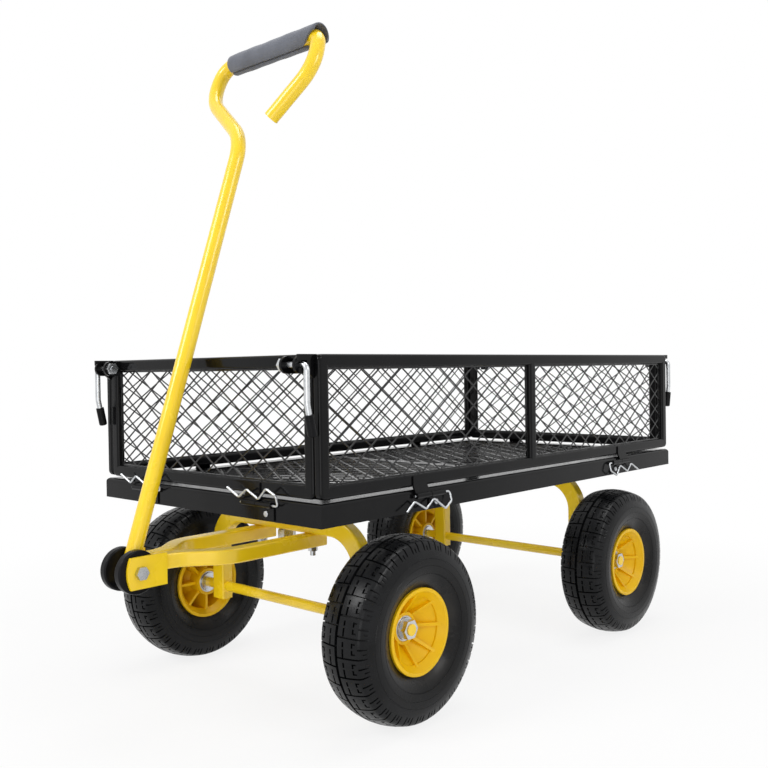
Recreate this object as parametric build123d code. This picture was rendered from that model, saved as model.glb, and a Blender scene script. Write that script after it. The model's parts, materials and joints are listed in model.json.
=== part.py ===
from build123d import *
import math
import os

# Mesh garden cart, in millimetres. While it is modelled, X runs across the cart (right side +X),
# Y runs to the rear, Z is up from the ground, and the bed is centred on X = Y = 0.

# Bed and box
bed_length = 940
bed_width = 495
rim_height = 500
box_depth = 215  # from the rim down to the underside of the bed frame
frame_height = 30
frame_wall = 2
frame_flange = 30
frame_edge_radius = 6
floor_thickness = 2.5
floor_margin = 0.5
floor_strand = 3.5
floor_cell_across = 48
floor_cell_along = 33
floor_rim = 9
floor_smallest_gap = 0.25  # part gaps below this share of a whole one stay closed
beam_width = 40
beam_wall = 2
middle_beam_y = 0

# Panels round the bed
panel_lift = 4  # gap between the bed frame and the panels
panel_inset = 2  # panels stand this far inside the frame's outer face
panel_tube_width = 17
panel_tube_depth = 13
panel_tube_wall = 1.8
panel_tube_radius = 4
panel_corner_radius = 8
panel_side_gap = 1  # between an end panel and the side panels
panel_strand = 1.7
panel_net_thickness = 1.4
panel_cell_along = 42
panel_cell_up = 30
panel_net_rim = 2
panel_smallest_gap = 0.1

# Panel hinges and the hairpin clips that are their pins
hinge_out = 5  # pin axis outside the frame's face
hinge_drop = 8  # pin axis below the frame's top
knuckle_diameter = 8
knuckle_length = 29
knuckle_gap = 1
leaf_thickness = 2
leaf_height = 16
panel_leaf_height = 15
end_hinge_offset = 131
side_hinge_offset = 268
clip_wire = 3.2
clip_bend = 4.5
clip_tilt = 15
clip_low = 6.6
clip_high = 19
clip_bow = 23
clip_overhang = 4
clip_eye = 12
clip_shoulder = 14
screw_head_diameter = 8
screw_head_height = 2
screw_shank = 4
pin_clearance = 0.08

# Corner latches
latch_out = 15  # rod axis outside the frame's face
latch_drop = 13  # rod axis below the rim
latch_rod = 8
latch_bend = 7
latch_ear = 4
latch_ear_height = 30
latch_ear_radius = 11
latch_span = 29.5  # from the hook to the inner ear
lever_inset = 6  # lever axis inside the frame's side
latch_hook_clearance = 1.5
latch_hook_lip = 8
latch_web = 3
latch_root = 5  # into the rounded edge of a post
lever_kink_drop = 48
lever_drop = 87
lever_kink_in = 8  # towards the panel
latch_grip_diameter = 12
latch_grip_length = 28
latch_nut_width = 16
latch_nut_height = 7

# Axles, arches and steering
track = 470
front_axle_setback = 160  # behind the bed's front
rear_axle_setback = 204  # ahead of the bed's rear
axle_diameter = 16
arch_width = 28  # in the plane of the arch
arch_depth = 20
arch_wall = 2
arch_corner = 3
wheel_to_leg = 72.5
arch_bend = 60
leg_below_axle = 20
axle_clearance = 0.05
turntable_stack = 19
turntable_diameter = 80
turntable_gap = 0.3
kingpin_diameter = 16
kingpin_head_width = 24
kingpin_head_height = 10
kingpin_nut_height = 13
arch_bolt_diameter = 10
arch_bolt_x = 60
arch_bolt_head = 17
arch_bolt_head_height = 6

# Yoke and clevis
yoke_width = 23.5
yoke_height = 20
yoke_wall = 2
yoke_corner = 3
yoke_bend = 60
yoke_spread = 58
yoke_neck = 33
yoke_flare = 55
yoke_tail = 18
yoke_bolt_diameter = 8
yoke_bolt_head = 13
yoke_bolt_head_height = 5.5
yoke_nut_height = 6.5
yoke_bolt_tail = 7
ear_thickness = 4
ear_height = 42
ear_ahead = 19
ear_bulge = 5
ear_lap = 10
pivot_ahead = 115  # in front of the bed
pivot_height = 221
pivot_bolt_diameter = 10
pivot_head = 16
pivot_head_height = 6.5
pivot_nut_height = 8

# Handle
handle_height = 1020  # top of the grip with the shaft straight up
handle_lean = 18.5
handle_tube = 22
handle_wall = 2
handle_heel = 18
kink_bend = 70
loop_tilt = 4
loop_shoulder_bend = 60
loop_grip_bend = 24
loop_height = 152
loop_shoulder = 95
loop_shoulder_half = 119
loop_grip_half = 107
loop_end_across = 56
loop_end_up = 23
grip_diameter = 32
grip_length = 172
grip_slit = 3
grip_fit = 0.1
disc_diameter = 58
disc_thickness = 12.5
disc_edge = 2.5
disc_gap = 0.4
disc_to_yoke = 1.5

# Wheels
tyre_diameter = 255
tyre_width = 84
tyre_wall = 6.5
crown_drop = 6.5
shoulder_half = 33
tread_groove = 4.6
tread_groove_depth = 4.6
lug_count = 30  # on each side of the groove
lug_gap = 2.4
lug_gap_turn = 0.15  # middle of the first gap, as a share of the pitch
lug_gap_floor = ((1.5, 123.6), (12, 123), (23, 120.6), (33, 117.6), (38.4, 108.6))  # from the middle, radius
widest_radius = 92
bead_radius = 52
tyre_over_flange = 1
rim_half = 33
rim_flange_radius = 59
rim_flange = 5
rim_wall = 6
rim_edge = 1
rim_lip_radius = 54  # inner edge of the lip
rim_lip_depth = 10
bowl_wall = 6
bowl_rim = 23  # outer face of the bowl at the barrel, from the wheel's middle
bowl_hub = -5  # the same at the hub
rib_count = 8
rib_thickness = 4.5
rib_recess = 6
hub_radius = 22
hub_inner = 33
hub_outer = 4
bearing_diameter = 35
bearing_width = 11
bearing_chamfer = 0.5
hub_bore_clearance = 2
washer_diameter = 30
washer_thickness = 2.5
washer_gap = 0.3
axle_nut_width = 24
axle_nut_height = 9
axle_tail = 1.5

# Heights and faces that follow from the sizes above
front_axle_y = front_axle_setback - bed_length / 2
rear_axle_y = bed_length / 2 - rear_axle_setback
pivot_y = -bed_length / 2 - pivot_ahead
arch_half_span = track / 2 - wheel_to_leg
frame_bottom = rim_height - box_depth
frame_top = frame_bottom + frame_height
floor_top = frame_top - frame_wall
floor_bottom = floor_top - floor_thickness
panel_bottom = frame_top + panel_lift
panel_height = rim_height - panel_bottom
hinge_z = frame_top - hinge_drop
axle_z = tyre_diameter / 2
rear_arch_top = frame_bottom
front_arch_top = frame_bottom - turntable_stack
front_arch_bottom = front_arch_top - arch_width
plate_thickness = (turntable_stack - turntable_gap) / 2
yoke_z = front_arch_bottom - yoke_height / 2
ear_inner = handle_tube / 2 + disc_thickness + disc_gap
yoke_front_x = ear_inner - yoke_width / 2
yoke_front_y = pivot_y + disc_diameter / 2 + disc_to_yoke
yoke_rear_y = front_axle_y + yoke_tail
side_panel_length = bed_length - 2 * panel_inset
end_panel_length = bed_width - 2 * (panel_inset + panel_tube_depth + panel_side_gap)
hub_inner_x = track / 2 - hub_inner
hub_outer_x = track / 2 + hub_outer
axle_half_length = hub_outer_x + washer_gap + washer_thickness + axle_nut_height + axle_tail
pin_bore = clip_wire + 2 * pin_clearance
latch_z = rim_height - latch_drop
latch_hook_x = bed_width / 2 - panel_inset - panel_tube_depth + latch_ear / 2
latch_inner_x = latch_hook_x - latch_span
latch_lever_x = bed_width / 2 - lever_inset


# Small helpers
def rod_x(diameter, start, end, y=0, z=0):
    middle = Pos((start + end) / 2, y, z)
    return middle * Rot(0, 90, 0) * Cylinder(diameter / 2, abs(end - start))


def rod_z(diameter, start, end, x=0, y=0):
    return Pos(x, y, (start + end) / 2) * Cylinder(diameter / 2, abs(end - start))


def hex_x(width, start, end, y=0, z=0):
    plane = Plane((start, y, z), x_dir=(0, 1, 0), z_dir=(1, 0, 0))
    return extrude(plane * RegularPolygon(width / 2, 6, major_radius=False), end - start)


def hex_z(width, start, end, x=0, y=0):
    plane = Plane((x, y, start))
    return extrude(plane * RegularPolygon(width / 2, 6, major_radius=False), end - start)


def block(x, y, z):
    size = [high - low for low, high in (x, y, z)]
    middle = [(low + high) / 2 for low, high in (x, y, z)]
    return Pos(*middle) * Box(*size)


def solids_of(shapes):
    return Compound(children=[solid for shape in shapes for solid in shape.solids()])


def mirrored(shape):
    return shape.mirror(Plane.YZ)


# A flat net of diamonds is one holed face, thickened
def clip_polygon(points, axis, limit, keep_below):
    kept = []
    for here, after in zip(points, points[1:] + points[:1]):
        here_in = here[axis] <= limit if keep_below else here[axis] >= limit
        after_in = after[axis] <= limit if keep_below else after[axis] >= limit
        if here_in:
            kept.append(here)
        if here_in != after_in:
            share = (limit - here[axis]) / (after[axis] - here[axis])
            kept.append(tuple(h + share * (a - h) for h, a in zip(here, after)))
    return kept


def polygon_area(points):
    pairs = zip(points, points[1:] + points[:1])
    return abs(sum(a[0] * b[1] - b[0] * a[1] for a, b in pairs)) / 2


def diamond_net(size, cell, strand, rim, thickness, smallest_gap):
    width, height = size
    half_w = width / round(width / cell[0]) / 2
    half_h = height / round(height / cell[1]) / 2
    inner = half_w * half_h / math.hypot(half_w, half_h)
    shrink = 1 - strand / (2 * inner)
    gap_w = half_w * shrink
    gap_h = half_h * shrink
    edge_x = width / 2 - rim
    edge_y = height / 2 - rim
    smallest = 2 * gap_w * gap_h * smallest_gap
    gaps = []
    columns = math.ceil(width / half_w)
    rows = math.ceil(height / half_h)
    for column in range(-columns, columns + 1):
        for row in range(-rows, rows + 1):
            if (column + row) % 2:
                continue
            x = column * half_w
            y = row * half_h
            gap = [(x + gap_w, y), (x, y + gap_h), (x - gap_w, y), (x, y - gap_h)]
            for axis, edge in ((0, edge_x), (1, edge_y)):
                gap = clip_polygon(gap, axis, edge, True)
                gap = clip_polygon(gap, axis, -edge, False) if gap else gap
            if len(gap) > 2 and polygon_area(gap) > smallest:
                gaps.append(Wire.make_polygon([(*point, 0) for point in gap], close=True))
    sheet = Wire.make_rect(width, height)
    return extrude(Face(sheet, gaps), thickness / 2, both=True), len(gaps)


# Bed: a folded rim with a flange at its top, beams across it and a net floor under the flange
def make_bed_frame():
    half_x = bed_width / 2
    half_y = bed_length / 2
    frame = block((-half_x, half_x), (-half_y, half_y), (frame_bottom, frame_top))
    frame = fillet(frame.edges().group_by(Axis.Z)[-1], frame_edge_radius)
    half_x = bed_width / 2 - frame_wall
    half_y = bed_length / 2 - frame_wall
    frame -= block((-half_x, half_x), (-half_y, half_y), (frame_bottom, floor_top))
    half_x = bed_width / 2 - frame_flange
    half_y = bed_length / 2 - frame_flange
    return frame - block((-half_x, half_x), (-half_y, half_y), (floor_top, frame_top))


def make_beams():
    half = bed_width / 2 - frame_wall
    beams = []
    for y in (front_axle_y, middle_beam_y, rear_axle_y):
        beam = block((-half, half), (y - beam_width / 2, y + beam_width / 2), (frame_bottom, floor_bottom))
        inside = beam_width / 2 - beam_wall
        hollow = (frame_bottom + beam_wall, floor_bottom - beam_wall)
        beam -= block((-half, half), (y - inside, y + inside), hollow)
        beams.append(beam)
    through = frame_bottom + beam_wall
    beams[0] -= rod_z(kingpin_diameter, frame_bottom, through, 0, front_axle_y)
    for side in (-1, 1):
        beams[2] -= rod_z(arch_bolt_diameter, frame_bottom, through, side * arch_bolt_x, rear_axle_y)
    return solids_of(beams)


def make_floor(end):
    width = bed_width - 2 * (frame_wall + floor_margin)
    length = bed_length / 2 - frame_wall - floor_margin
    cell = (floor_cell_across, floor_cell_along)
    sheet = (floor_strand, floor_rim, floor_thickness, floor_smallest_gap)
    net, gaps = diamond_net((width, length), cell, *sheet)
    print("floor net gaps", gaps)
    return Pos(0, end * length / 2, (floor_bottom + floor_top) / 2) * net


# Panels, hinges and clips are built with the pin axis along X through the origin, outward along -Y
def hinge_spots(offset, turned):
    return [(-offset, 1), (offset, -1 if turned else 1)]


def along(spot, direction, near, far):
    ends = (spot + direction * near, spot + direction * far)
    return min(ends), max(ends)


def frame_leaf(spot, direction):
    start, end = along(spot, direction, knuckle_gap / 2, knuckle_gap / 2 + knuckle_length)
    face = hinge_out - leaf_thickness
    leaf = block((start, end), (face, hinge_out), (-knuckle_diameter / 2 - leaf_height, 0))
    leaf += rod_x(knuckle_diameter, start, end)
    leaf -= rod_x(pin_bore, start, end)
    hole = Rot(90, 0, 0) * Cylinder(screw_shank / 2, 2 * leaf_thickness)
    return leaf - Pos((start + end) / 2, hinge_out, leaf_screw_z()) * hole


def leaf_screw_z():
    return -knuckle_diameter / 2 - leaf_height / 2


def leaf_screw(spot, direction):
    start, end = along(spot, direction, knuckle_gap / 2, knuckle_gap / 2 + knuckle_length)
    face = hinge_out - leaf_thickness
    place = Pos((start + end) / 2, face, leaf_screw_z()) * Rot(90, 0, 0)
    head = Pos(0, 0, screw_head_height / 2) * Cylinder(screw_head_diameter / 2, screw_head_height)
    head = fillet(head.edges().group_by(Axis.Z)[-1], screw_head_height / 2)
    return place * (head + Pos(0, 0, -leaf_thickness / 2) * Cylinder(screw_shank / 2, leaf_thickness))


def panel_leaf(spot, direction):
    start, end = along(spot, direction, -knuckle_gap / 2 - knuckle_length, -knuckle_gap / 2)
    outer = hinge_out + panel_inset
    low = panel_bottom - hinge_z
    radius = knuckle_diameter / 2
    outline = Polyline(
        (outer, low + panel_leaf_height),
        (outer - leaf_thickness, low + panel_leaf_height),
        (outer - leaf_thickness, low + leaf_thickness),
        (leaf_thickness / 2, radius),
        (leaf_thickness, 0),
        (outer, low),
        close=True,
    )
    plane = Plane((start, 0, 0), x_dir=(0, 1, 0), z_dir=(1, 0, 0))
    leaf = extrude(plane * make_face(outline), end - start)
    return leaf + rod_x(knuckle_diameter, start, end) - rod_x(pin_bore, start, end)


def hairpin_clip(spot, direction, upward):
    reach = knuckle_gap / 2 + knuckle_length
    wave_start = reach - clip_overhang
    pitch = 2 * (reach + knuckle_gap) / 3
    eye = reach + clip_eye
    outline = [(-reach - clip_overhang, 0), (eye, 0), (eye, clip_shoulder), (wave_start, clip_bow)]
    for step, height in enumerate((clip_low, clip_high, clip_low, clip_high), 1):
        outline.append((wave_start - step * pitch, height))
    tilt = math.radians(clip_tilt)
    rise = math.cos(tilt) if upward else -math.cos(tilt)
    points = [(spot + direction * s, -t * math.sin(tilt), t * rise) for s, t in outline]
    path = FilletPolyline(*points, radius=clip_bend)
    section = Plane(path @ 0, z_dir=path % 0) * Circle(clip_wire / 2)
    return sweep(section, path=path)


def panel_tubes(length, posts):
    outer = hinge_out + panel_inset
    low = panel_bottom - hinge_z
    middle = Pos(0, outer + panel_tube_depth / 2, low + panel_height / 2)
    tube = panel_tube_width
    body = Box(length, panel_tube_depth, panel_height)
    body = fillet(body.edges().filter_by(Axis.Y), panel_corner_radius)
    walls = 2 * panel_tube_wall
    hollow = Box(length - walls, panel_tube_depth - walls, panel_height - walls)
    bay = (length - posts * tube) / (posts - 1)
    high = panel_height - 2 * tube
    for x in bay_middles(length, posts):
        body -= Pos(x, 0, 0) * Box(bay, panel_tube_depth, high)
        hollow -= Pos(x, 0, 0) * Box(bay + walls, panel_tube_depth, high + walls)
    faces = body.faces().sort_by(Axis.Y)
    body = fillet(faces[0].edges() + faces[-1].edges(), panel_tube_radius)
    return middle * (body - hollow)


def bay_middles(length, posts):
    pitch = (length - panel_tube_width) / (posts - 1)
    return [-length / 2 + panel_tube_width / 2 + pitch * (index + 0.5) for index in range(posts - 1)]


def panel_nets(length, posts):
    tube = panel_tube_width
    bay = (length - posts * tube) / (posts - 1)
    high = panel_height - 2 * tube
    cell = (panel_cell_along, panel_cell_up)
    sheet = (panel_strand, panel_net_rim, panel_net_thickness, panel_smallest_gap)
    net, gaps = diamond_net((bay, high), cell, *sheet)
    print("panel net gaps", gaps * (posts - 1))
    y = hinge_out + panel_inset + panel_tube_depth / 2
    z = panel_bottom - hinge_z + panel_height / 2
    return solids_of([Pos(x, y, z) * Rot(90, 0, 0) * net for x in bay_middles(length, posts)])


# Latch pieces in the same frame as their end panel: rod along X, outward along -Y
def latch_spot():
    return hinge_out - latch_out, latch_z - hinge_z


def latch_plate(outline, x):
    plane = Plane((x - latch_ear / 2, 0, 0), x_dir=(0, 1, 0), z_dir=(1, 0, 0))
    return extrude(plane * make_face(outline), latch_ear)


def latch_bracket():
    y, z = latch_spot()
    face = hinge_out + panel_inset
    top = z + latch_ear_radius
    bottom = z - latch_ear_radius

    def ear(back, x):
        edges = [
            Line((back, top), (y, top)),
            ThreePointArc((y, top), (y - latch_ear_radius, z), (y, bottom)),
            Line((y, bottom), (back, bottom)),
            Line((back, bottom), (back, top)),
        ]
        return latch_plate(edges, x)

    end = end_panel_length / 2
    ears = ear(face, latch_inner_x) + ear(face + latch_root, end - latch_ear / 2)
    ears += block((latch_inner_x, end), (y, face), (top - latch_web, top))
    bore = latch_rod + 2 * pin_clearance
    return ears - rod_x(bore, latch_inner_x - latch_ear, end + latch_ear, y, z)


def latch_hook():
    y, z = latch_spot()
    face = hinge_out + panel_inset
    top = rim_height - hinge_z
    behind = y + latch_rod / 2 + latch_hook_clearance
    over = z + latch_rod / 2 + latch_hook_clearance
    back = face + latch_root
    outline = Polyline(
        (back, top),
        (y - latch_hook_lip, top),
        (y - latch_hook_lip, over),
        (behind, over),
        (behind, z - latch_rod),
        (face, top - latch_ear_height),
        (back, top - latch_ear_height),
        close=True,
    )
    return latch_plate(outline, latch_hook_x)


def lever_path():
    y, z = latch_spot()
    tail = latch_inner_x - latch_ear / 2 - washer_gap - latch_nut_height - axle_tail
    corners = [
        (tail, y, z),
        (latch_lever_x, y, z),
        (latch_lever_x, y, z - lever_kink_drop),
        (latch_lever_x, y + lever_kink_in, z - lever_drop),
    ]
    return FilletPolyline(*corners, radius=latch_bend)


def latch_lever():
    path = lever_path()
    return sweep(Plane(path @ 0, z_dir=path % 0) * Circle(latch_rod / 2), path=path)


def latch_grip():
    path = lever_path()
    place = Plane(path @ 1, z_dir=-(path % 1))
    over = axle_tail
    grip = Pos(0, 0, latch_grip_length / 2 - over) * Cylinder(latch_grip_diameter / 2, latch_grip_length)
    grip = fillet(grip.edges().group_by(Axis.Z)[0], latch_grip_diameter / 4)
    grip -= Pos(0, 0, latch_grip_length / 2) * Cylinder(latch_rod / 2, latch_grip_length)
    return place * grip


def latch_nut():
    y, z = latch_spot()
    end = latch_inner_x - latch_ear / 2 - washer_gap
    start = end - latch_nut_height
    return hex_x(latch_nut_width, start, end, y, z) - rod_x(latch_rod, start, end, y, z)


# Places of the four panels: the pin axis of each, turned so that -Y faces outward
end_reach = bed_length / 2 + hinge_out
side_reach = bed_width / 2 + hinge_out
panel_places = {
    "front": Pos(0, -end_reach, hinge_z),
    "right": Pos(side_reach, 0, hinge_z) * Rot(0, 0, 90),
    "rear": Pos(0, end_reach, hinge_z) * Rot(0, 0, 180),
    "left": Pos(-side_reach, 0, hinge_z) * Rot(0, 0, -90),
}


def make_panel(name):
    ends = name in ("front", "rear")
    length = end_panel_length if ends else side_panel_length
    posts = 2 if ends else 3
    spots = hinge_spots(end_hinge_offset, False) if ends else hinge_spots(side_hinge_offset, True)
    tubes = panel_tubes(length, posts)
    for spot, direction in spots:
        tubes += panel_leaf(spot, direction)
    place = panel_places[name]
    tubes = place * tubes
    if ends:
        bracket = latch_bracket()
        tubes += place * bracket
        tubes += place * mirrored(bracket)
    else:
        side = 1 if name == "right" else -1
        for end_place in (panel_places["front"], panel_places["rear"]):
            turned = side if end_place is panel_places["front"] else -side
            hook = latch_hook() if turned > 0 else mirrored(latch_hook())
            tubes += end_place * hook
    return tubes, place * panel_nets(length, posts), [(place, spot, direction) for spot, direction in spots]


# Wheels are built about the X axis with the outer side along +X
def revolve_x(edges):
    return revolve(make_face(edges), Axis.X)


def make_tyre():
    half = tyre_width / 2
    crown = tyre_diameter / 2
    shoulder = crown - crown_drop
    seat = rim_half - rim_flange
    over_flange = rim_flange_radius + tyre_over_flange

    def profile(inset, toe):
        edges = [Line((-toe, bead_radius), (toe, bead_radius))]
        for side in (-1, 1):
            bead = (side * toe, bead_radius)
            flange = (side * toe, over_flange + inset)
            widest = (side * (half - inset), widest_radius)
            corner = (side * (shoulder_half - inset / 2), shoulder - inset)
            edges.append(Line(bead, flange))
            edges.append(TangentArc(widest, flange, tangent=(0, -1)))
            edges.append(TangentArc(widest, corner, tangent=(0, 1)))
        corner = shoulder_half - inset / 2
        height = shoulder - inset
        edges.append(ThreePointArc((corner, height), (0, crown - inset), (-corner, height)))
        return edges

    tyre = revolve_x(profile(0, seat)) - revolve_x(profile(tyre_wall, seat - tyre_wall))
    ends = (-tread_groove / 2, tread_groove / 2)
    tyre -= rod_x(tyre_diameter, *ends) - rod_x(tyre_diameter - 2 * tread_groove_depth, *ends)
    return tyre.cut(*lug_gaps())


def lug_gaps():
    outside = tyre_diameter / 2 + tyre_wall
    inner, last = lug_gap_floor[0], lug_gap_floor[-1]
    corners = [*lug_gap_floor, (tyre_width, last[1]), (tyre_width, outside), (inner[0], outside)]
    outline = Polyline(*corners, close=True)
    gap = extrude(Plane.XZ * make_face(outline), lug_gap / 2, both=True)
    pitch = 360 / lug_count
    gaps = []
    for index in range(lug_count):
        gaps.append(Rot(-pitch * (index + lug_gap_turn), 0, 0) * gap)
        gaps.append(Rot(-pitch * (index + lug_gap_turn + 1 / 2), 0, 0) * mirrored(gap))
    return gaps


def make_rim():
    seat = rim_half - rim_flange
    barrel = bead_radius - rim_wall
    rim = rod_x(2 * bead_radius, -rim_half, rim_half)
    for side in (-1, 1):
        rim += rod_x(2 * rim_flange_radius, side * seat, side * rim_half)
    flange_edges = rim.edges().filter_by(GeomType.CIRCLE).filter_by(lambda edge: edge.radius > bead_radius)
    rim = fillet(flange_edges, rim_edge)
    rim -= rod_x(2 * barrel, -rim_half, rim_half)
    lip_end = rim_half - rim_lip_depth
    lip = Polyline((rim_half, 0), (rim_half, rim_lip_radius), (lip_end, barrel), (lip_end, 0), close=True)
    lip = revolve_x(lip)
    rim -= lip + mirrored(lip)
    into_barrel = barrel + rim_wall / 2
    into_hub = hub_radius - rim_edge
    bowl = Polyline(
        (bowl_rim, into_barrel),
        (bowl_rim - bowl_wall, into_barrel),
        (bowl_hub - bowl_wall, into_hub),
        (bowl_hub, into_hub),
        close=True,
    )
    rim += revolve_x(bowl)
    rim += rod_x(2 * hub_radius, -hub_inner, hub_outer)
    rib_end = rim_half - rib_recess
    rib = Polyline(
        (rib_end, into_barrel),
        (-rib_end, into_barrel),
        (rib_recess - hub_inner, into_hub),
        (hub_outer, into_hub),
        close=True,
    )
    rib = extrude(Plane.XZ * make_face(rib), rib_thickness / 2, both=True)
    for index in range(rib_count):
        rim += Rot(360 / rib_count * index, 0, 0) * rib
    rim -= rod_x(axle_diameter + 2 * hub_bore_clearance, -hub_inner, hub_outer)
    for start, end in bearing_seats():
        rim -= rod_x(bearing_diameter, start, end)
    return rim


def bearing_seats():
    return (-hub_inner, bearing_width - hub_inner), (hub_outer - bearing_width, hub_outer)


def make_bearings():
    bearings = []
    for start, end in bearing_seats():
        ring = rod_x(bearing_diameter, start, end)
        ring = chamfer(ring.edges().filter_by(GeomType.CIRCLE), bearing_chamfer)
        bearings.append(ring - rod_x(axle_diameter + 2 * axle_clearance, start, end))
    return solids_of(bearings)


wheel_places = {
    f"{end}_{side}": Pos(turn * track / 2, y, axle_z) * Rot(0, 0, 0 if turn > 0 else 180)
    for end, y in (("front", front_axle_y), ("rear", rear_axle_y))
    for side, turn in (("right", 1), ("left", -1))
}


# An arch of rectangular tube carries each axle
def bent_tube(path, start, size, corner, wall):
    outside = RectangleRounded(*size, corner)
    inside = RectangleRounded(size[0] - 2 * wall, size[1] - 2 * wall, corner - wall / 2)
    return sweep(start * outside, path=path) - sweep(start * inside, path=path)


def make_arch(top, y):
    middle = top - arch_width / 2
    bottom = axle_z - leg_below_axle
    corners = [
        (-arch_half_span, y, bottom),
        (-arch_half_span, y, middle),
        (arch_half_span, y, middle),
        (arch_half_span, y, bottom),
    ]
    path = FilletPolyline(*corners, radius=arch_bend)
    start = Plane(path @ 0, x_dir=(1, 0, 0), z_dir=(0, 0, 1))
    arch = bent_tube(path, start, (arch_width, arch_depth), arch_corner, arch_wall)
    reach = arch_half_span + arch_width
    return arch - rod_x(axle_diameter, -reach, reach, y, axle_z)


def make_axle(y):
    return rod_x(axle_diameter, -axle_half_length, axle_half_length, y, axle_z)


def axle_fasteners(y):
    pieces = []
    inner_x = hub_inner_x - washer_gap
    outer_x = hub_outer_x + washer_gap
    nut_x = outer_x + washer_thickness
    for side in (-1, 1):
        for start, end in ((inner_x - washer_thickness, inner_x), (outer_x, nut_x)):
            washer = rod_x(washer_diameter, side * start, side * end, y, axle_z)
            pieces.append(washer - rod_x(axle_diameter, side * start, side * end, y, axle_z))
        nut = hex_x(axle_nut_width, side * nut_x, side * (nut_x + axle_nut_height), y, axle_z)
        pieces.append(nut - rod_x(axle_diameter, side * nut_x, side * (nut_x + axle_nut_height), y, axle_z))
    return solids_of(pieces)


def rear_arch_bolts():
    pieces = []
    inside = frame_bottom + beam_wall
    under = rear_arch_top - arch_width
    for side in (-1, 1):
        x = side * arch_bolt_x
        bolt = rod_z(arch_bolt_diameter, under, inside + arch_bolt_head_height, x, rear_axle_y)
        bolt += hex_z(arch_bolt_head, under - arch_bolt_head_height, under, x, rear_axle_y)
        nut_top = inside + arch_bolt_head_height
        nut = hex_z(arch_bolt_head, inside, nut_top, x, rear_axle_y)
        pieces += [bolt, nut - rod_z(arch_bolt_diameter, inside, nut_top, x, rear_axle_y)]
    return solids_of(pieces)


# Turntable: two plates on the kingpin, the upper one under the front beam
def upper_plate():
    plate = rod_z(turntable_diameter, frame_bottom - plate_thickness, frame_bottom, 0, front_axle_y)
    return plate - rod_z(kingpin_diameter, frame_bottom - plate_thickness, frame_bottom, 0, front_axle_y)


def lower_plate():
    plate = rod_z(turntable_diameter, front_arch_top, front_arch_top + plate_thickness, 0, front_axle_y)
    return plate - kingpin_bore()


def kingpin_bore():
    bore = kingpin_diameter + 2 * pin_clearance
    return rod_z(bore, front_arch_bottom, front_arch_top + plate_thickness, 0, front_axle_y)


def make_kingpin():
    head = frame_bottom + beam_wall
    nut_top = front_arch_bottom - turntable_gap
    nut_bottom = nut_top - kingpin_nut_height
    pin = rod_z(kingpin_diameter, nut_bottom, head, 0, front_axle_y)
    pin += hex_z(kingpin_head_width, head, head + kingpin_head_height, 0, front_axle_y)
    nut = hex_z(kingpin_head_width, nut_bottom, nut_top, 0, front_axle_y)
    return solids_of([pin, nut - rod_z(kingpin_diameter, nut_bottom, nut_top, 0, front_axle_y)])


# Yoke: two bent tubes under the front arch, closing to the clevis ears
def yoke_bar():
    corners = [
        (yoke_front_x, yoke_front_y),
        (yoke_front_x, yoke_front_y + yoke_neck),
        (yoke_spread, yoke_front_y + yoke_neck + yoke_flare),
        (yoke_spread, yoke_rear_y),
    ]
    path = FilletPolyline(*[(x, y, yoke_z) for x, y in corners], radius=yoke_bend)
    start = Plane(path @ 0, x_dir=(1, 0, 0), z_dir=(0, 1, 0))
    bar = bent_tube(path, start, (yoke_width, yoke_height), yoke_corner, yoke_wall)
    return bar - yoke_bolt_hole()


def yoke_bolt_hole():
    return rod_z(yoke_bolt_diameter, yoke_z - yoke_height, front_arch_top, yoke_spread, front_axle_y)


def yoke_bolts():
    pieces = []
    under = yoke_z - yoke_height / 2
    tail = under - yoke_nut_height - yoke_bolt_tail
    bolt = rod_z(yoke_bolt_diameter, tail, front_arch_top, yoke_spread, front_axle_y)
    head_top = front_arch_top + yoke_bolt_head_height
    bolt += hex_z(yoke_bolt_head, front_arch_top, head_top, yoke_spread, front_axle_y)
    nut = hex_z(yoke_bolt_head, under - yoke_nut_height, under, yoke_spread, front_axle_y)
    nut -= rod_z(yoke_bolt_diameter, under - yoke_nut_height, under, yoke_spread, front_axle_y)
    for piece in (bolt, nut):
        pieces += [piece, mirrored(piece)]
    return solids_of(pieces)


def clevis_ear():
    front = pivot_y - ear_ahead
    rear = yoke_front_y + ear_lap
    top = pivot_height + ear_height / 2
    bottom = pivot_height - ear_height / 2
    edges = [
        Line((rear, bottom), (rear, top)),
        Line((rear, top), (front + ear_bulge, top)),
        ThreePointArc((front + ear_bulge, top), (front, pivot_height), (front + ear_bulge, bottom)),
        Line((front + ear_bulge, bottom), (rear, bottom)),
    ]
    plane = Plane((ear_inner, 0, 0), x_dir=(0, 1, 0), z_dir=(1, 0, 0))
    ear = extrude(plane * make_face(edges), ear_thickness)
    return ear - rod_x(pivot_bolt_diameter, ear_inner, ear_inner + ear_thickness, pivot_y, pivot_height)


def pivot_bolt():
    outer = ear_inner + ear_thickness
    nut_end = -outer - pivot_nut_height
    bolt = rod_x(pivot_bolt_diameter, nut_end, outer, pivot_y, pivot_height)
    bolt += hex_x(pivot_head, outer, outer + pivot_head_height, pivot_y, pivot_height)
    nut = hex_x(pivot_head, nut_end, -outer, pivot_y, pivot_height)
    return solids_of([bolt, nut - rod_x(pivot_bolt_diameter, nut_end, -outer, pivot_y, pivot_height)])


# Handle: a straight shaft, a kink and an open loop with a split foam grip
shaft_length = (
    handle_height - pivot_height - loop_height * math.cos(math.radians(loop_tilt)) - grip_diameter / 2
)


def leaning(angle):
    lean = math.radians(angle)
    return Vector(0, math.sin(lean), math.cos(lean))


pivot_point = Vector(0, pivot_y, pivot_height)
shaft_up = leaning(handle_lean)
loop_up = leaning(handle_lean + loop_tilt)
kink_point = pivot_point + shaft_up * shaft_length
grip_point = kink_point + loop_up * loop_height


def loop_point(across, up):
    return kink_point + Vector(across, 0, 0) + loop_up * up


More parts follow.
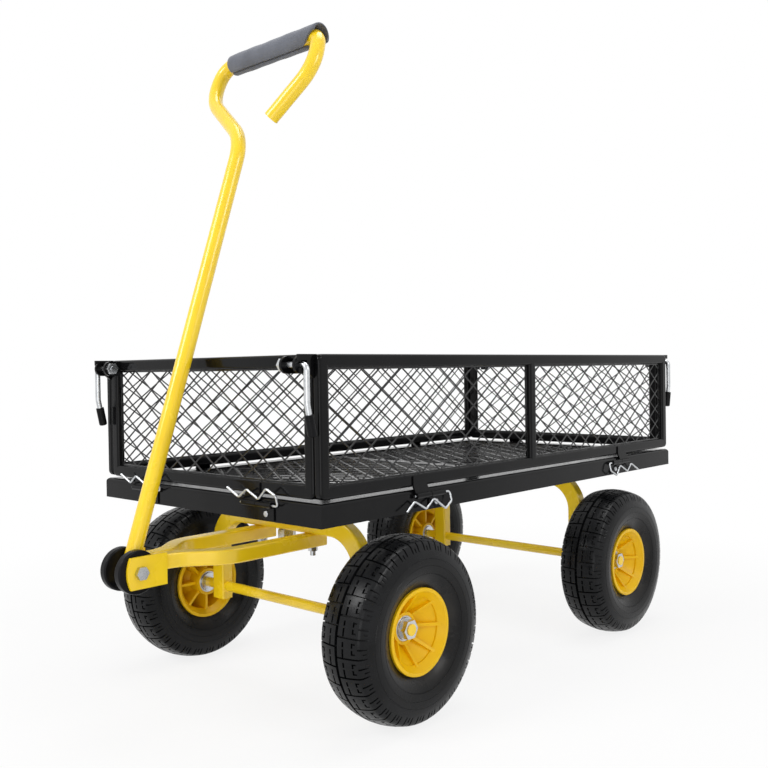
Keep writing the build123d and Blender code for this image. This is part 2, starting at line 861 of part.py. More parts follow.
def make_handle():
    points = [
        pivot_point - shaft_up * handle_heel,
        kink_point,
        loop_point(-loop_shoulder_half, loop_shoulder),
        loop_point(-loop_grip_half, loop_height),
        loop_point(loop_grip_half, loop_height),
        loop_point(loop_shoulder_half, loop_shoulder),
        loop_point(loop_end_across, loop_end_up),
    ]
    bends = [kink_bend, loop_shoulder_bend, loop_grip_bend, loop_grip_bend, loop_shoulder_bend]
    path = FilletPolyline(*points, radius=bends)
    start = Plane(path @ 0, x_dir=(1, 0, 0), z_dir=path % 0)
    tube = sweep(start * Circle(handle_tube / 2), path=path)
    tube -= sweep(start * Circle(handle_tube / 2 - handle_wall), path=path)
    bore = pivot_bolt_diameter + 2 * pin_clearance
    return tube - rod_x(bore, -handle_tube, handle_tube, pivot_y, pivot_height)


def make_grip():
    place = Plane(grip_point, x_dir=(1, 0, 0), z_dir=loop_up)
    bore = handle_tube + 2 * grip_fit
    grip = rod_x(grip_diameter, -grip_length / 2, grip_length / 2)
    grip -= rod_x(bore, -grip_length / 2, grip_length / 2)
    grip -= Pos(0, 0, -grip_diameter / 2) * Box(grip_length, grip_slit, grip_diameter)
    return place.location * grip


def pivot_discs():
    start = handle_tube / 2
    disc = rod_x(disc_diameter, start, start + disc_thickness, pivot_y, pivot_height)
    disc = fillet(disc.edges().filter_by(GeomType.CIRCLE), disc_edge)
    bore = pivot_bolt_diameter + 2 * pin_clearance
    disc -= rod_x(bore, start, start + disc_thickness, pivot_y, pivot_height)
    return solids_of([disc, mirrored(disc)])


def build_nodes():
    nodes = {
        "bed_frame": make_bed_frame(),
        "bed_cross_beams": make_beams(),
        "floor_net_front": make_floor(-1),
        "floor_net_rear": make_floor(1),
    }
    leaves = []
    screws = []
    fixed_clips = []
    front_clips = []
    for name in panel_places:
        tubes, nets, spots = make_panel(name)
        nodes[f"{name}_panel_frame"] = tubes
        nodes[f"{name}_panel_net"] = nets
        for place, spot, direction in spots:
            leaves.append(place * frame_leaf(spot, direction))
            screws.append(place * leaf_screw(spot, direction))
            clips = front_clips if name == "front" else fixed_clips
            clips.append(place * hairpin_clip(spot, direction, name == "front"))
    nodes["hinge_leaves"] = solids_of(leaves)
    nodes["hinge_screws"] = solids_of(screws)
    nodes["bed_hinge_clips"] = solids_of(fixed_clips)
    nodes["front_hinge_clips"] = solids_of(front_clips)

    for name, piece in (("lever", latch_lever()), ("grip", latch_grip()), ("nut", latch_nut())):
        for end, side, shape in (
            ("front", "right", piece),
            ("front", "left", mirrored(piece)),
            ("rear", "left", piece),
            ("rear", "right", mirrored(piece)),
        ):
            nodes[f"{end}_{side}_latch_{name}"] = panel_places[end] * shape

    tyre = make_tyre()
    rim = make_rim()
    bearings = make_bearings()
    for name, place in wheel_places.items():
        nodes[f"{name}_tyre"] = place * tyre
        nodes[f"{name}_rim"] = place * rim
        nodes[f"{name}_bearings"] = place * bearings

    rear_arch = make_arch(rear_arch_top, rear_axle_y)
    for side in (-1, 1):
        x = side * arch_bolt_x
        rear_arch -= rod_z(arch_bolt_diameter, rear_arch_top - arch_width, rear_arch_top, x, rear_axle_y)
    front_arch = make_arch(front_arch_top, front_axle_y) - kingpin_bore()
    front_arch -= yoke_bolt_hole() + mirrored(yoke_bolt_hole())
    bar = yoke_bar()
    ear = clevis_ear()
    nodes |= {
        "rear_arch": rear_arch,
        "rear_arch_bolts": rear_arch_bolts(),
        "rear_axle": make_axle(rear_axle_y),
        "rear_axle_fasteners": axle_fasteners(rear_axle_y),
        "turntable_upper_plate": upper_plate(),
        "kingpin": make_kingpin(),
        "turntable_lower_plate": lower_plate(),
        "front_arch": front_arch,
        "front_axle": make_axle(front_axle_y),
        "front_axle_fasteners": axle_fasteners(front_axle_y),
        "yoke_bar_right": bar,
        "yoke_bar_left": mirrored(bar),
        "yoke_bolts": yoke_bolts(),
        "clevis_ears": solids_of([ear, mirrored(ear)]),
        "pivot_bolt": pivot_bolt(),
        "handle_tube": make_handle(),
        "handle_grip": make_grip(),
        "pivot_discs": pivot_discs(),
    }
    return nodes


# The origin goes to the ground under the middle of the whole cart
nodes = build_nodes()
whole = Compound(children=[solid for shape in nodes.values() for solid in shape.solids()]).bounding_box()
shift = Vector(-(whole.min.X + whole.max.X) / 2, -(whole.min.Y + whole.max.Y) / 2, -whole.min.Z)
os.makedirs("parts", exist_ok=True)
for name, shape in nodes.items():
    export_step(Pos(shift) * shape, f"parts/{name}.step")
print("nodes", len(nodes), "shift", tuple(round(value, 3) for value in shift), "size", whole.size)
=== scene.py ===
import json
import math

import bpy
from mathutils import Matrix, Vector


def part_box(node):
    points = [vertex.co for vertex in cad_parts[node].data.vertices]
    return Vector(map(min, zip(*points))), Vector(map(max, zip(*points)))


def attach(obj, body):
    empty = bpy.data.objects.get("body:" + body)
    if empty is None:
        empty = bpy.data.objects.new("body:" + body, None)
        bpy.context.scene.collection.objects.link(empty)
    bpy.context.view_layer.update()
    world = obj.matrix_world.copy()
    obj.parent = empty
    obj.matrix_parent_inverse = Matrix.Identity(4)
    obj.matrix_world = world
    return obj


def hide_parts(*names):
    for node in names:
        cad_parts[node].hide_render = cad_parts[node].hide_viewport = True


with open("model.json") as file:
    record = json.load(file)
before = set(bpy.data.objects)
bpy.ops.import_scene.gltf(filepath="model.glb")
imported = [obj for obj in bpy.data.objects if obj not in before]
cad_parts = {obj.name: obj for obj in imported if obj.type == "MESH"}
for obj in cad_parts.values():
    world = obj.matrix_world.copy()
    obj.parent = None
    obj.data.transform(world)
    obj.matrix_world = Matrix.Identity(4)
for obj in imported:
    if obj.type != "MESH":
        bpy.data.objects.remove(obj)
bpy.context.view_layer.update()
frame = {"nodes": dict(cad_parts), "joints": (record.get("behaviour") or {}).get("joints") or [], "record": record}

nodes = frame["nodes"]
joints = {joint["name"]: joint for joint in frame["joints"]}
scene = bpy.context.scene
perMetre = 1000  # millimetres
print("frame loaded:", len(nodes), "nodes")


def middleOf(node):
    low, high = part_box(node)
    return (low + high) / 2


def addObject(name, data):
    added = bpy.data.objects.new(name, data)
    scene.collection.objects.link(added)
    return added


# small node helpers
def put(tree, kind, inputs=None, **settings):
    node = tree.nodes.new(kind)
    for key, value in settings.items():
        setattr(node, key, value)
    for key, value in (inputs or {}).items():
        if isinstance(value, bpy.types.NodeSocket):
            tree.links.new(value, node.inputs[key])
        else:
            node.inputs[key].default_value = value
    return node


def maths(tree, operation, a, b):
    return put(tree, "ShaderNodeMath", {0: a, 1: b}, operation=operation).outputs[0]


# 6, 7 and 2 are the node's colour sockets
def blendColour(tree, mask, a, b):
    return put(tree, "ShaderNodeMix", {0: mask, 6: a, 7: b}, data_type="RGBA").outputs[2]


def remap(tree, value, low, high, toLow, toHigh):
    sockets = {"Value": value, "From Min": low, "From Max": high, "To Min": toLow, "To Max": toHigh}
    return put(tree, "ShaderNodeMapRange", sockets, interpolation_type="SMOOTHSTEP").outputs[0]


def noise(tree, place, size, detail, rough):
    sockets = {"Vector": place, "Scale": size, "Detail": detail, "Roughness": rough}
    return put(tree, "ShaderNodeTexNoise", sockets).outputs[0]


def objectPlace(tree):
    return put(tree, "ShaderNodeTexCoord").outputs["Object"]


# distance from a wheel's axis, which runs along X
def axleRadius(tree, place):
    flat = put(tree, "ShaderNodeVectorMath", {0: place, 1: (0.0, 1.0, 1.0)}, operation="MULTIPLY")
    return put(tree, "ShaderNodeVectorMath", {0: flat.outputs[0]}, operation="LENGTH").outputs["Value"]


# skins that the finishes share: clouds of tone and a fine relief, each as detail and roughness of its noise
skinValues = {
    # sprayed and baked paint, with its orange peel
    "paintSkin": {"tone": (4.0, 0.6), "spread": 0.2, "relief": (1.5, 0.4), "pores": False},
    # drawn and plated metal, with its grain
    "metalGrain": {"tone": (5.0, 0.65), "spread": 0.15, "relief": (2.0, 0.6), "pores": False},
    # rubber, foam and moulded plastic, with pores and a dull bloom
    "poreSkin": {"tone": (5.0, 0.6), "spread": 0.18, "relief": (3.0, 0.6), "pores": True},
}


def makeSkin(name, values):
    tree = bpy.data.node_groups.new(name, "ShaderNodeTree")
    for label in ("Tone Size", "Relief Size"):
        tree.interface.new_socket(name=label, in_out="INPUT", socket_type="NodeSocketFloat")
    for label in ("Tone", "Relief"):
        tree.interface.new_socket(name=label, in_out="OUTPUT", socket_type="NodeSocketFloat")
    ins = tree.nodes.new("NodeGroupInput").outputs
    outs = tree.nodes.new("NodeGroupOutput").inputs
    place = objectPlace(tree)
    clouds = noise(tree, place, ins["Tone Size"], *values["tone"])
    tone = remap(tree, clouds, 0.5 - values["spread"], 0.5 + values["spread"], 0.0, 1.0)
    relief = noise(tree, place, ins["Relief Size"], *values["relief"])
    if values["pores"]:
        sockets = {"Vector": place, "Scale": ins["Relief Size"]}
        cells = put(tree, "ShaderNodeTexVoronoi", sockets, feature="SMOOTH_F1")
        relief = maths(tree, "MULTIPLY", cells.outputs["Distance"], relief)
    tree.links.new(tone, outs["Tone"])
    tree.links.new(relief, outs["Relief"])
    return tree


skins = {name: makeSkin(name, values) for name, values in skinValues.items()}
print("node groups made")


def startFinish(name, values):
    finish = bpy.data.materials.new(name)
    finish.use_nodes = True
    tree = finish.node_tree
    skin = put(tree, "ShaderNodeGroup", values["sizes"], node_tree=skins[values["skin"]])
    return finish, tree, skin.outputs


def setShader(tree, values, skin, colour):
    shader = tree.nodes["Principled BSDF"]
    rough = remap(tree, skin["Tone"], 0.0, 1.0, *values["rough"])
    sockets = {"Strength": values["bump"], "Distance": values["depth"], "Height": skin["Relief"]}
    bump = put(tree, "ShaderNodeBump", sockets)
    tree.links.new(colour, shader.inputs["Base Color"])
    tree.links.new(rough, shader.inputs["Roughness"])
    tree.links.new(bump.outputs[0], shader.inputs["Normal"])
    for label, value in values["sockets"].items():
        shader.inputs[label].default_value = value


def plainFinish(name, values):
    finish, tree, skin = startFinish(name, values)
    setShader(tree, values, skin, blendColour(tree, skin["Tone"], values["deep"], values["light"]))
    return finish


blackPaintValues = {
    "skin": "paintSkin", "sizes": {"Tone Size": 8.0, "Relief Size": 380.0},
    "deep": (0.0035, 0.0035, 0.0038, 1), "light": (0.0065, 0.0065, 0.007, 1),
    "rough": (0.1, 0.17), "bump": 0.02, "depth": 0.0006,
    "sockets": {"Specular IOR Level": 0.13},
}
netPaintValues = {
    "skin": "paintSkin", "sizes": {"Tone Size": 26.0, "Relief Size": 500.0},
    "deep": (0.004, 0.004, 0.0043, 1), "light": (0.008, 0.008, 0.0085, 1),
    "rough": (0.16, 0.28), "bump": 0.12, "depth": 0.0005,
    "sockets": {"Specular IOR Level": 0.4},
}
# the floor net is the same black net paint, but its base colour is lighter, which is painted reflection of the
# light off its upward strands; its stronger gloss is real
floorNetLitPaintValues = {
    "skin": "paintSkin", "sizes": {"Tone Size": 30.0, "Relief Size": 500.0},
    "deep": (0.006, 0.006, 0.0064, 1), "light": (0.013, 0.013, 0.014, 1),
    "rough": (0.2, 0.32), "bump": 0.12, "depth": 0.0005,
    "sockets": {"Specular IOR Level": 0.75},
}
yellowPaintValues = {
    "skin": "paintSkin", "sizes": {"Tone Size": 10.0, "Relief Size": 360.0},
    "deep": (0.93, 0.62, 0.009, 1), "light": (0.97, 0.68, 0.015, 1),
    "rough": (0.22, 0.3), "bump": 0.01, "depth": 0.0005,
    "sockets": {"Coat Weight": 0.3, "Coat Roughness": 0.12},
}
rimPlasticValues = {
    "skin": "poreSkin", "sizes": {"Tone Size": 22.0, "Relief Size": 900.0},
    "deep": (0.84, 0.5, 0.001, 1), "light": (0.88, 0.54, 0.002, 1),
    "rough": (0.32, 0.42), "bump": 0.06, "depth": 0.0004,
    "sockets": {"Specular IOR Level": 0.28},
}
zincPlateValues = {
    "skin": "metalGrain", "sizes": {"Tone Size": 90.0, "Relief Size": 1100.0},
    "deep": (0.5, 0.515, 0.53, 1), "light": (0.6, 0.615, 0.63, 1),
    "rough": (0.22, 0.3), "bump": 0.02, "depth": 0.0003,
    "sockets": {"Metallic": 1.0},
}
blackPlasticValues = {
    "skin": "poreSkin", "sizes": {"Tone Size": 30.0, "Relief Size": 1100.0},
    "deep": (0.004, 0.004, 0.0046, 1), "light": (0.007, 0.007, 0.008, 1),
    "rough": (0.26, 0.36), "bump": 0.1, "depth": 0.0004,
    "sockets": {"Specular IOR Level": 0.11},
}
foamSkinValues = {
    "skin": "poreSkin", "sizes": {"Tone Size": 24.0, "Relief Size": 620.0},
    "deep": (0.105, 0.113, 0.137, 1), "light": (0.145, 0.155, 0.185, 1),
    "rough": (0.75, 0.9), "bump": 0.3, "depth": 0.0008,
    "sockets": {"Sheen Weight": 0.2, "Sheen Roughness": 0.5},
}

blackPaint = plainFinish("blackPaint", blackPaintValues)
netPaint = plainFinish("netPaint", netPaintValues)
floorNetLitPaint = plainFinish("floorNetLitPaint", floorNetLitPaintValues)
yellowPaint = plainFinish("yellowPaint", yellowPaintValues)
rimPlastic = plainFinish("rimPlastic", rimPlasticValues)
zincPlate = plainFinish("zincPlate", zincPlateValues)
blackPlastic = plainFinish("blackPlastic", blackPlasticValues)
foamSkin = plainFinish("foamSkin", foamSkinValues)

tyreRubberValues = {
    "skin": "poreSkin", "sizes": {"Tone Size": 18.0, "Relief Size": 800.0},
    "deep": (0.0035, 0.0037, 0.0042, 1), "light": (0.0085, 0.0088, 0.0098, 1),
    "sidewall": (0.0055, 0.0053, 0.0053, 1), "sidewallRadius": (0.088, 0.104),
    "bead": (0.026, 0.0245, 0.023, 1), "beadRadius": (0.064, 0.08),
    "rough": (0.22, 0.33), "bump": 0.2, "depth": 0.0006,
    "sockets": {"Specular IOR Level": 0.17},
}


# the sidewall is warmer and more even than the tread, and lighter by the rim; a tyre's origin is on its axle
def tyreFinish(name, values):
    finish, tree, skin = startFinish(name, values)
    radius = axleRadius(tree, objectPlace(tree))
    colour = blendColour(tree, skin["Tone"], values["deep"], values["light"])
    for band in ("sidewall", "bead"):
        within = remap(tree, radius, *values[band + "Radius"], 1.0, 0.0)
        colour = blendColour(tree, maths(tree, "MULTIPLY", within, skin["Tone"]), colour, values[band])
    setShader(tree, values, skin, colour)
    return finish


tyreRubber = tyreFinish("tyreRubber", tyreRubberValues)

bearingValues = {
    "skin": "metalGrain", "sizes": {"Tone Size": 120.0, "Relief Size": 1300.0},
    "seal": (0.01, 0.01, 0.011, 1), "steel": (0.6, 0.61, 0.63, 1),
    "sealRadius": (0.0105, 0.0152), "sealEdge": 0.0004,
    "rough": (0.3, 0.42), "bump": 0.1, "depth": 0.0003,
    "sockets": {},
}


# steel races with a black seal between them, about the axle through the given place
def bearingFinish(name, values, axle):
    finish, tree, skin = startFinish(name, values)
    away = put(tree, "ShaderNodeVectorMath", {0: objectPlace(tree), 1: axle}, operation="SUBTRACT")
    radius = axleRadius(tree, away.outputs[0])
    low, high = values["sealRadius"]
    inside = remap(tree, radius, low - values["sealEdge"], low, 0.0, 1.0)
    outside = remap(tree, radius, high, high + values["sealEdge"], 1.0, 0.0)
    seal = maths(tree, "MULTIPLY", inside, outside)
    setShader(tree, values, skin, blendColour(tree, seal, values["steel"], values["seal"]))
    tree.links.new(maths(tree, "SUBTRACT", 1.0, seal), tree.nodes["Principled BSDF"].inputs["Metallic"])
    return finish


bearingFinishes = {}
for end in ("front", "rear"):
    axle = joints[end + "_right_wheel_spin"]["pos_m"]
    bearingFinishes[end] = bearingFinish("bearing" + end.title(), bearingValues, axle)

finishes = {
    "black_paint": blackPaint, "yellow_paint": yellowPaint, "zinc": zincPlate, "tyre": tyreRubber,
    "yellow_plastic": rimPlastic, "black_plastic": blackPlastic, "foam": foamSkin,
}


def finishFor(node, slotName):
    # the floor net takes the lighter copy of the net paint, whose lighter colour is painted reflection
    if node.startswith("floor_net"):
        return floorNetLitPaint
    if node.endswith("net"):
        return netPaint
    if node.endswith("bearings"):
        return bearingFinishes[node.split("_")[0]]
    return finishes[slotName]


for part in frame["record"]["subparts"]:
    mesh = nodes[part["node"]].data
    mesh.materials.clear()
    mesh.materials.append(finishFor(part["node"], part["material_slot"]))


def newMesh(name, verts, faces, finish, sharpAngle):
    mesh = bpy.data.meshes.new(name)
    mesh.from_pydata(verts, [], faces)
    mesh.update()
    mesh.materials.append(finish)
    mesh.polygons.foreach_set("use_smooth", [True] * len(mesh.polygons))
    mesh.set_sharp_from_angle(angle=math.radians(sharpAngle))
    return mesh


# tyre, in millimetres: a hollow section turned about the axle, with rows of blocks cut into the tread
tyreValues = {
    # half of the outer section from the crown to the bead, as (out from the middle, radius)
    "section": [(0, 127.5), (11, 126.8), (22, 124.7), (33, 121), (37.3, 113.5), (40.7, 103.5), (41.9, 92),
                (40.2, 80), (35.7, 69.5), (30.6, 62.5), (28.1, 60.2)],
    "sectionSteps": 10,
    "bead": [(27.9, 57), (27.9, 52.2), (21.5, 52.2)],  # its square edges
    "inside": [(22.5, 59), (32, 71), (35.4, 82), (35.4, 92), (33, 106), (25, 115.5), (0, 120.8)],
    "insideSteps": 2,
    "pitches": 30,
    "wall": 0.016,  # slope of a block's side, as a part of a pitch
    "groove": (1.8, 4.6),  # half width at its bottom and depth of the groove round the middle
    # rows from the groove outwards: start, end, depth of the gaps at both, gaps as (start, end) in a pitch
    "rows": [
        (2.3, 9.9, (3.9, 3.7), [(0.105, 0.195)]),
        (10.2, 12.3, (3.4, 3.4), [(0.105, 0.605), (0.695, 0.94)]),
        (12.6, 23.8, (3.7, 3.5), [(0.105, 0.195)]),
        (24.1, 26.0, (2.8, 2.8), [(0.105, 0.195), (0.36, 0.605), (0.695, 0.94)]),
        (26.3, 29.4, (3.3, 3.1), [(0.105, 0.195), (0.36, 0.44), (0.86, 0.94)]),
        (29.8, 32.6, (3.0, 2.9), [(0.105, 0.195)]),
        (33.0, 36.0, (2.9, 2.8), [(0.105, 0.195), (0.605, 0.695)]),
        (36.6, 40.0, (2.6, 2.2), [(0.105, 0.195), (0.605, 0.695)]),
        (40.4, 46.0, (1.8, 0.9), [(0.105, 0.195), (0.36, 0.44), (0.605, 0.695)]),
    ],
    "rowStep": 3.0,  # between lines of points along a row
    "turned": 0.5,  # the second side's pattern is half a pitch on
    "rings": [(57.5, 58.7, 0.4), (67.0, 68.0, 0.35), (77.5, 79.0, 0.5)],  # start, end, depth in the sidewall
    "ringSlope": 0.4, "ringClear": 0.9,
    "sidewallStart": 1.6, "sidewallStep": 3.6,  # lines of points past the last row
    "sharp": 30,
}


# a curve through the points, which starts as if mirrored across the middle
def smoothLine(points, steps):
    line = []
    for k in range(len(points) - 1):
        p0 = points[k - 1] if k else (-points[1][0], points[1][1])
        p1, p2 = points[k], points[k + 1]
        p3 = points[k + 2] if k + 2 < len(points) else (2 * p2[0] - p1[0], 2 * p2[1] - p1[1])
        for j in range(steps):
            t = j / steps
            line.append(tuple(
                0.5 * (2 * b + (c - a) * t + (2 * a - 5 * b + 4 * c - d) * t * t
                       + (3 * b - a - 3 * c + d) * t ** 3)
                for a, b, c, d in zip(p0, p1, p2, p3)))
    line.append(points[-1])
    return line


def lengthsOf(line):
    total = [0.0]
    for p, q in zip(line, line[1:]):
        total.append(total[-1] + math.dist(p, q))
    return total


# place at a length along the line, and the way out from it
def pointAt(line, lengths, s):
    s = min(max(s, 0.0), lengths[-1])
    k = 0
    while k < len(lengths) - 2 and lengths[k + 1] < s:
        k += 1
    (a0, r0), (a1, r1) = line[k], line[k + 1]
    span = lengths[k + 1] - lengths[k]
    t = (s - lengths[k]) / span
    return a0 + (a1 - a0) * t, r0 + (r1 - r0) * t, (r0 - r1) / span, (a1 - a0) / span


# how far into a gap a phase of the pitch is: 0 on a block, 1 at the gap's bottom
def gapDepth(gaps, phase, wall):
    worst = 0.0
    for start, end in gaps:
        for turn in (-1, 0, 1):
            inner = min(phase - start - turn, end + turn - phase)
            worst = max(worst, min(1.0, inner / wall))
    return worst


# phases of the pitch where a block of either side starts or ends
def tyreStations(values):
    wall = values["wall"]
    phases = set()
    for start, end in (gap for row in values["rows"] for gap in row[-1]):
        for p in (start, start + wall, end - wall, end):
            phases.update((round(p % 1, 5), round((p + values["turned"]) % 1, 5)))
    return sorted(phases)


# lines of points from the crown to the bead: place, depth, and the row's gaps or None for a line all round
def tyreLines(values, length):
    half, deepest = values["groove"]
    lines = [(0.0, deepest, None), (half, deepest, None)]
    for start, end, (first, last), gaps in values["rows"]:
        count = max(1, round((end - start) / values["rowStep"]))
        for i in range(count + 1):
            lines.append((start + (end - start) * i / count, first + (last - first) * i / count, gaps))
    slope = values["ringSlope"]
    marks = {}
    for start, end, deep in values["rings"]:
        marks.update({start: 0.0, start + slope: deep, end - slope: deep, end: 0.0})
    s = values["rows"][-1][1] + values["sidewallStart"]
    while s < length:
        if all(abs(s - m) > values["ringClear"] for m in marks):
            marks[s] = 0.0
        s += values["sidewallStep"]
    return lines + [(s, marks[s], None) for s in sorted(marks) if s < length]


# one side of the section, from the crown round the bead to the middle of the inside
def tyreSide(values, outline, inside, side, phase):
    turned = phase if side > 0 else (phase + values["turned"]) % 1
    points = []
    for (a, r, outA, outR), deep, gaps in outline:
        drop = deep if gaps is None else deep * gapDepth(gaps, turned, values["wall"])
        points.append((side * (a - outA * drop), r - outR * drop))
    return points + [(side * a, r) for a, r in values["bead"] + inside]


def makeTyreMesh(values):
    line = smoothLine(values["section"], values["sectionSteps"])
    lengths = lengthsOf(line)
    outline = [(pointAt(line, lengths, s), deep, gaps) for s, deep, gaps in tyreLines(values, lengths[-1])]
    inside = smoothLine(values["inside"], values["insideSteps"])
    stations = tyreStations(values)
    verts = []
    for pitch in range(values["pitches"]):
        for phase in stations:
            angle = 2 * math.pi * (pitch + phase) / values["pitches"]
            across, up = math.sin(angle), math.cos(angle)
            # the second side leaves out the two points in the middle, which the first side has
            loop = tyreSide(values, outline, inside, 1, phase)
            loop += tyreSide(values, outline[1:], inside[:-1], -1, phase)[::-1]
            verts += [(a / perMetre, r / perMetre * across, r / perMetre * up) for a, r in loop]
    count = len(loop)
    around = values["pitches"] * len(stations)
    faces = []
    for j in range(around):
        n = (j + 1) % around
        for i in range(count):
            m = (i + 1) % count
            faces.append((j * count + i, j * count + m, n * count + m, n * count + i))
    return verts, faces


tyreMesh = newMesh("treaded_tyre", *makeTyreMesh(tyreValues), tyreRubber, tyreValues["sharp"])
for end in ("front", "rear"):
    for side in ("right", "left"):
        name = end + "_" + side
        tyre = addObject("treaded_tyre_" + name, tyreMesh)
        tyre.location = joints[name + "_wheel_spin"]["pos_m"]
        tyre.rotation_euler = (0, 0, 0 if side == "right" else math.pi)
        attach(tyre, name + "_wheel")
        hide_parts(name + "_tyre")
print("tyres:", len(tyreMesh.vertices), "points each")


# foam sleeve on the handle, slit along its underside; it spreads where the tube bends down out of it
gripValues = {
    "up": (0, 0.3827, 0.9239), "length": 0.172, "past": 0.025, "outer": 0.016, "inner": 0.0112, "slit": 0.003,
    "endRound": 0.0014, "endSteps": [(0, 1), (0.3, 0.45), (1, 0)],  # along and in, as parts of the round
    "lipRound": 0.0007, "lipSteps": 2,
    # waves of the foam, as radians for a metre along and for a radian around, cut off above waveTop
    "wave": 0.0002, "waves": [(70, 2), (160, -3)], "waveTop": 1.4,
    "openLength": 0.036, "openTurn": 1.36, "openInner": 0.0022, "openEase": 1.3,
    "openSide": 0.0016, "sidePower": 6,
    "around": 96, "along": 64, "sharp": 50,
}


def gripPlaces(values):
    edge, steps = values["endRound"], values["along"]
    first, last = -values["length"] / 2, values["length"] / 2 + values["past"]
    ends = [(first + along * edge, inward * edge) for along, inward in values["endSteps"]]
    between = [(first + edge + (last - first - 2 * edge) * k / steps, 0.0) for k in range(1, steps)]
    return ends + between + [(first + last - x, draw) for x, draw in ends[::-1]]


# the sleeve's section at x: the outer skin from lip to lip, then the bore back again
def gripSection(values, x, draw, last):
    count = values["around"]
    t = max(0.0, (x - last) / values["openLength"] + 1)
    spread = t * t * (3 - 2 * t)
    narrow = math.asin(values["slit"] / 2 / values["outer"])
    half = narrow + (values["openTurn"] - narrow) * spread ** values["openEase"]
    inner = values["inner"] + values["openInner"] * spread
    turns = [half + (2 * math.pi - 2 * half) * i / count for i in range(count + 1)]
    points = []
    for i, angle in enumerate(turns):
        lip = values["lipRound"] * max(0.0, 1 - min(i, count - i) / values["lipSteps"]) ** 2
        swell = sum(math.sin(along * x + around * angle) for along, around in values["waves"])
        wave = values["wave"] * (swell - values["waveTop"])
        r = values["outer"] - draw - lip + min(0.0, wave)
        r += values["openSide"] * spread * math.sin(angle) ** values["sidePower"]
        points.append((x, -r * math.sin(angle), -r * math.cos(angle)))
    return points + [(x, -inner * math.sin(angle), -inner * math.cos(angle)) for angle in turns[::-1]]


def makeGripMesh(values):
    places = gripPlaces(values)
    verts = []
    for x, draw in places:
        verts += gripSection(values, x, draw, places[-1][0])
    count = 2 * (values["around"] + 1)
    faces = []
    for k in range(len(places) - 1):
        for i in range(count):
            m = (i + 1) % count
            faces.append((k * count + i, (k + 1) * count + i, (k + 1) * count + m, k * count + m))
    far = (len(places) - 1) * count
    for i in range(values["around"]):
        faces.append((i, i + 1, count - 2 - i, count - 1 - i))
        faces.append((far + i + 1, far + i, far + count - 1 - i, far + count - 2 - i))
    up = Vector(values["up"]).normalized()
    across = Vector((1, 0, 0))
    turn = Matrix((across, up.cross(across), up)).transposed()
    middle = middleOf("handle_grip")
    return [tuple(middle + turn @ Vector(v)) for v in verts], faces


gripMesh = newMesh("foam_grip", *makeGripMesh(gripValues), foamSkin, gripValues["sharp"])
grip = addObject("foam_grip", gripMesh)
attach(grip, "handle")
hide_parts("handle_grip")
print("grip made")


# rays that see the room and the floor as white: from the camera, off gloss or through something clear
def seenRays(tree):
    path = put(tree, "ShaderNodeLightPath").outputs
    seen = maths(tree, "MAXIMUM", path["Is Camera Ray"], path["Is Glossy Ray"])
    return maths(tree, "MAXIMUM", seen, path["Is Transmission Ray"])


# pale floor that keeps a soft shadow and runs out to white
floorValues = {"size": 14.0, "pale": (0.84, 0.84, 0.84, 1), "near": 0.84, "runOut": (0.6, 1.4)}


def makeFloor(values):
    h = values["size"] / 2
    mesh = bpy.data.meshes.new("studio_floor")
    mesh.from_pydata([(-h, -h, 0), (h, -h, 0), (h, h, 0), (-h, h, 0)], [], [(0, 1, 2, 3)])
    finish = bpy.data.materials.new("studioFloor")
    finish.use_nodes = True
    tree = finish.node_tree
    tree.nodes.clear()
    away = put(tree, "ShaderNodeVectorMath", {0: objectPlace(tree)}, operation="LENGTH").outputs["Value"]
    white = remap(tree, away, *values["runOut"], values["near"], 1.0)
    matt = put(tree, "ShaderNodeBsdfDiffuse", {"Color": values["pale"]}).outputs[0]
    glow = put(tree, "ShaderNodeEmission", {"Strength": 1.0}).outputs[0]
    seen = maths(tree, "MULTIPLY", seenRays(tree), white)
    mixed = put(tree, "ShaderNodeMixShader", {0: seen, 1: matt, 2: glow})
    put(tree, "ShaderNodeOutputMaterial", {"Surface": mixed.outputs[0]})
    mesh.materials.append(finish)
    addObject("studio_floor", mesh)


makeFloor(floorValues)

# studio light: an even pale room, three large soft lamps and a weak one that reaches under the bed
roomValues = {"level": 0.5}
lampValues = {
    "key": {"place": (-0.7, -2.6, 2.1), "aim": (0, -0.1, 0.4), "size": 1.0, "power": 36},
    "side": {"place": (2.6, 0.1, 1.7), "aim": (0, 0.1, 0.3), "size": 0.9, "power": 18},
    "top": {"place": (0.1, 0.3, 2.8), "aim": (0, 0.05, 0.3), "size": 1.4, "power": 28},
    "low": {"place": (0.95, -1.45, 0.2), "aim": (0, -0.1, 0.2), "size": 0.7, "power": 3.5},
}


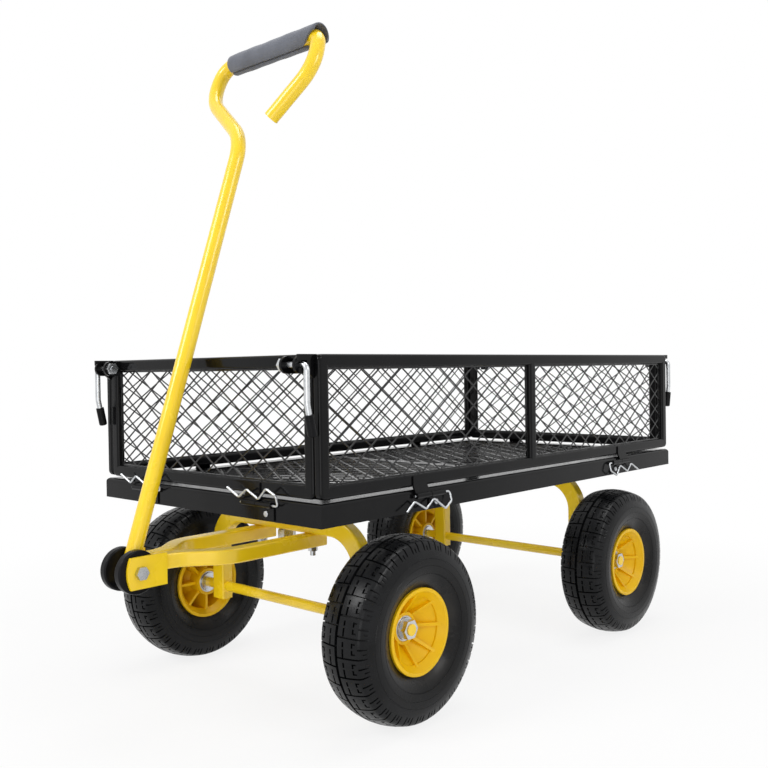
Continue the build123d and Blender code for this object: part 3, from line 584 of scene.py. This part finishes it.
def makeRoom(values):
    world = bpy.data.worlds.new("studio")
    scene.world = world
    world.use_nodes = True
    tree = world.node_tree
    tree.nodes.clear()
    room = put(tree, "ShaderNodeBackground", {"Color": (1, 1, 1, 1), "Strength": values["level"]})
    white = put(tree, "ShaderNodeBackground", {"Color": (1, 1, 1, 1), "Strength": 1.0})
    mixed = put(tree, "ShaderNodeMixShader", {0: seenRays(tree), 1: room.outputs[0], 2: white.outputs[0]})
    put(tree, "ShaderNodeOutputWorld", {"Surface": mixed.outputs[0]})


def makeLamp(name, values):
    light = bpy.data.lights.new(name, "AREA")
    light.size = values["size"]
    light.energy = values["power"]
    lamp = addObject(name, light)
    lamp.location = values["place"]
    aim = Vector(values["aim"]) - Vector(values["place"])
    lamp.rotation_euler = aim.to_track_quat("-Z", "Y").to_euler()


makeRoom(roomValues)
for lampName, lampSettings in lampValues.items():
    makeLamp(lampName + "_lamp", lampSettings)

# camera at the photograph's place; focal length in pixels of its square
cameraValues = {
    "focal": 920.5, "pixels": 768, "sensor": 36.0,
    "azimuth": 42.71, "elevation": 0.9, "roll": -0.87,
    "place": (1.0665, -1.2409, 0.4795),  # from the bed's middle, on the ground
}


def makeCamera(values):
    az, el, roll = (math.radians(values[k]) for k in ("azimuth", "elevation", "roll"))
    back = Vector((math.sin(az) * math.cos(el), -math.cos(az) * math.cos(el), math.sin(el)))
    flatRight = Vector((math.cos(az), math.sin(az), 0))
    flatUp = back.cross(flatRight)
    right = math.cos(roll) * flatRight + math.sin(roll) * flatUp
    up = -math.sin(roll) * flatRight + math.cos(roll) * flatUp
    place = Vector(values["place"]) + Vector((0, middleOf("bed_frame").y, 0))
    lens = bpy.data.cameras.new("camera")
    lens.sensor_width = values["sensor"]
    lens.lens = values["focal"] / values["pixels"] * values["sensor"]
    camera = addObject("camera", lens)
    camera.matrix_world = Matrix.Translation(place) @ Matrix((right, up, back)).transposed().to_4x4()
    scene.camera = camera


makeCamera(cameraValues)
scene.view_settings.view_transform = "Standard"
print("light, floor and camera set")
